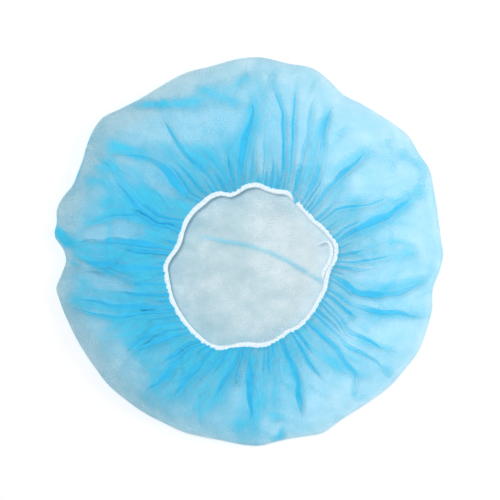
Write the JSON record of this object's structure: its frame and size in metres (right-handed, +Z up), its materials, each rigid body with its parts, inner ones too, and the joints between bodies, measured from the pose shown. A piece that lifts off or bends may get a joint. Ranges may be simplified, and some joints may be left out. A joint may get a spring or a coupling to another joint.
{
  "type": "disposable hairnet",
  "caption": "Disposable bouffant hair cap of thin cloth, laid flat with its crown down and its gathered elastic opening up.",
  "frame": {"origin": "middle of the footprint on the surface that the crown rests on", "axes": "+Z up out of the opening, +Y towards the picture's top, +X towards the picture's right"},
  "size_m": [0.3342, 0.3344, 0.0259],
  "materials": {
    "nonwoven_cloth": "thin translucent spunbond cloth, matt",
    "elastic_tape": "crinkled matt tape"
  },
  "bodies": {
    "root": {"cap_cloth": "nonwoven_cloth", "elastic_binding": "elastic_tape", "binding_tail": "elastic_tape"}
  },
  "joints": []
}
